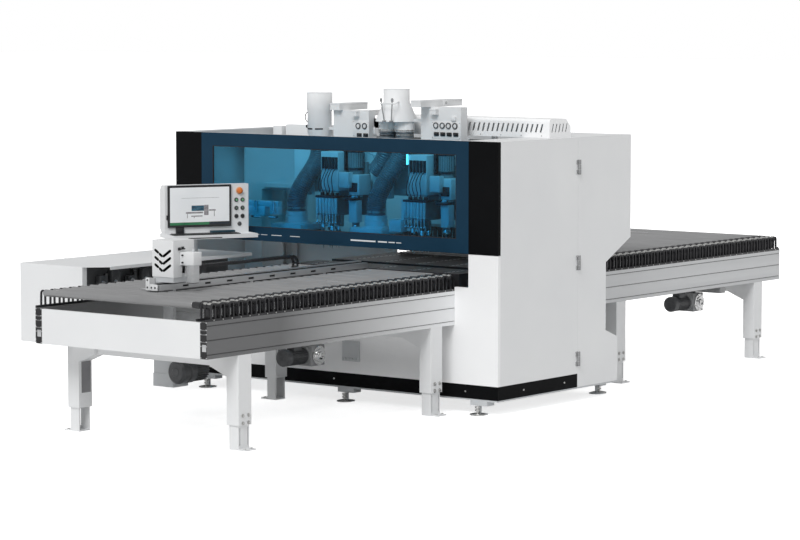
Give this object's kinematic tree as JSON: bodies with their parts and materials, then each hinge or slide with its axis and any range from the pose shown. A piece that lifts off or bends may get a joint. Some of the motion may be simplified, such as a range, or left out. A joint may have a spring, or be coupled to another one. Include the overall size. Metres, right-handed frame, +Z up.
{
  "type": "six sided cnc drilling machine",
  "caption": "Panel drilling machine: roller beds before and behind a cabinet with a blue window, travelling drill heads, a panel gripper and an operator's desk.",
  "frame": {"origin": "on the floor, under the middle of the machine's box", "axes": "+Y along the feed, from the infeed bed to the outfeed bed; +X to the right seen from the infeed, towards the access door; +Z up"},
  "size_m": [3.103, 7.3, 2.316],
  "materials": {
    "white_paint": "satin powder coat",
    "grey_paint": "satin powder coat",
    "black_paint": "satin powder coat",
    "navy_paint": "gloss",
    "blue_glass": "tinted, clear",
    "bare_aluminium": "extruded, satin",
    "black_plastic": "moulded",
    "hose_plastic": "ribbed, smoky",
    "orange_plastic": "gloss",
    "green_plastic": "gloss",
    "cast_grey": "painted casting"
  },
  "bodies": {
    "machine": {"base_frame": "grey_paint", "kick_skirt": "black_paint", "enclosure_frame": "grey_paint", "gantry_base": "grey_paint", "gantry_beam": "grey_paint", "lower_front_panel": "white_paint", "front_cover_left": "black_paint", "front_cover_right": "black_paint", "window_frame": "navy_paint", "window_pane": "blue_glass", "side_panel_right": "white_paint", "side_panel_left": "white_paint", "rear_upper_panel": "white_paint", "rear_lower_panel": "white_paint", "roof_panel": "white_paint", "cable_chain_cover": "white_paint", "infeed_beam_right": "bare_aluminium", "infeed_beam_left": "bare_aluminium", "outfeed_beam_right": "bare_aluminium", "outfeed_beam_left": "bare_aluminium", "infeed_end_panel": "white_paint", "outfeed_end_panel": "white_paint", "infeed_roller_bed": "black_plastic", "outfeed_roller_bed": "black_plastic", "front_table": "black_plastic", "rear_table": "black_plastic", "infeed_front_trestle": "white_paint", "infeed_rear_trestle": "white_paint", "outfeed_front_trestle": "white_paint", "outfeed_rear_trestle": "white_paint", "left_housing": "white_paint", "fence_beam": "grey_paint", "vacuum_pump": "black_paint", "infeed_gear_motor": "grey_paint", "outfeed_gear_motor": "grey_paint", "console_pedestal": "grey_paint"},
    "access_door": {"access_door": "white_paint"},
    "head_1": {"head_1_carriage": "white_paint", "head_1_duct": "white_paint", "head_1_hose": "hose_plastic"},
    "head_1_drills": {"head_1_drill_block": "cast_grey"},
    "head_2": {"head_2_carriage": "white_paint", "head_2_duct": "white_paint", "head_2_hose": "hose_plastic"},
    "head_2_drills": {"head_2_drill_block": "cast_grey"},
    "lower_head": {"lower_head_carriage": "grey_paint"},
    "lower_head_drills": {"lower_head_drill_block": "cast_grey"},
    "gripper": {"gripper_carriage": "grey_paint", "gripper_cover": "white_paint"},
    "gripper_jaw": {"gripper_jaw": "white_paint"},
    "gripper_chain": {"gripper_cable_chain": "black_plastic"},
    "console": {"console_box": "white_paint", "keyboard_tray": "white_paint"},
    "emergency_stop": {"emergency_stop": "orange_plastic"},
    "push_button_1": {"push_button_1": "green_plastic"},
    "push_button_2": {"push_button_2": "green_plastic"},
    "push_button_3": {"push_button_3": "green_plastic"},
    "push_button_4": {"push_button_4": "green_plastic"},
    "push_button_5": {"push_button_5": "green_plastic"},
    "push_button_6": {"push_button_6": "green_plastic"}
  },
  "joints": [
    {"name": "access_door_hinge", "type": "hinge", "parent": "machine", "child": "access_door", "pos_m": [1.5405, 0.0595, 0], "axis": [0, 0, 1], "range_deg": [0, 105]},
    {"name": "head_1_x", "type": "slide", "parent": "machine", "child": "head_1", "axis": [1, 0, 0], "range_m": [-0.6, 0]},
    {"name": "head_1_z", "type": "slide", "parent": "head_1", "child": "head_1_drills", "axis": [0, 0, 1], "range_m": [-0.068, 0.02]},
    {"name": "head_2_x", "type": "slide", "parent": "machine", "child": "head_2", "axis": [1, 0, 0], "range_m": [0, 0.38]},
    {"name": "head_2_z", "type": "slide", "parent": "head_2", "child": "head_2_drills", "axis": [0, 0, 1], "range_m": [-0.068, 0.02]},
    {"name": "lower_head_x", "type": "slide", "parent": "machine", "child": "lower_head", "axis": [1, 0, 0], "range_m": [-0.22, 0.84]},
    {"name": "lower_head_z", "type": "slide", "parent": "lower_head", "child": "lower_head_drills", "axis": [0, 0, 1], "range_m": [0, 0.038]},
    {"name": "gripper_y", "type": "slide", "parent": "machine", "child": "gripper", "axis": [0, 1, 0], "range_m": [0, 1.5]},
    {"name": "gripper_chain_y", "type": "slide", "parent": "machine", "child": "gripper_chain", "axis": [0, 1, 0], "range_m": [0, 0.75]},
    {"name": "gripper_jaw_z", "type": "slide", "parent": "gripper", "child": "gripper_jaw", "axis": [0, 0, 1], "range_m": [-0.038, 0]},
    {"name": "console_swivel", "type": "hinge", "parent": "machine", "child": "console", "pos_m": [-0.9715, -1.39, 0], "axis": [0, 0, 1], "range_deg": [-60, 30]},
    {"name": "emergency_stop_push", "type": "slide", "parent": "console", "child": "emergency_stop", "axis": [-0.8866, 0.4625, 0], "range_m": [0, 0.0055]},
    {"name": "push_button_1_push", "type": "slide", "parent": "console", "child": "push_button_1", "axis": [-0.8866, 0.4625, 0], "range_m": [0, 0.0035], "stiffness_N_per_m": 300},
    {"name": "push_button_2_push", "type": "slide", "parent": "console", "child": "push_button_2", "axis": [-0.8866, 0.4625, 0], "range_m": [0, 0.0035], "stiffness_N_per_m": 300},
    {"name": "push_button_3_push", "type": "slide", "parent": "console", "child": "push_button_3", "axis": [-0.8866, 0.4625, 0], "range_m": [0, 0.0035], "stiffness_N_per_m": 300},
    {"name": "push_button_4_push", "type": "slide", "parent": "console", "child": "push_button_4", "axis": [-0.8866, 0.4625, 0], "range_m": [0, 0.0035], "stiffness_N_per_m": 300},
    {"name": "push_button_5_push", "type": "slide", "parent": "console", "child": "push_button_5", "axis": [-0.8866, 0.4625, 0], "range_m": [0, 0.0035], "stiffness_N_per_m": 300},
    {"name": "push_button_6_push", "type": "slide", "parent": "console", "child": "push_button_6", "axis": [-0.8866, 0.4625, 0], "range_m": [0, 0.0035], "stiffness_N_per_m": 300}
  ],
  "couplings": [
    {"joint": "gripper_chain_y", "follows": "gripper_y", "ratio": 0.5}
  ]
}
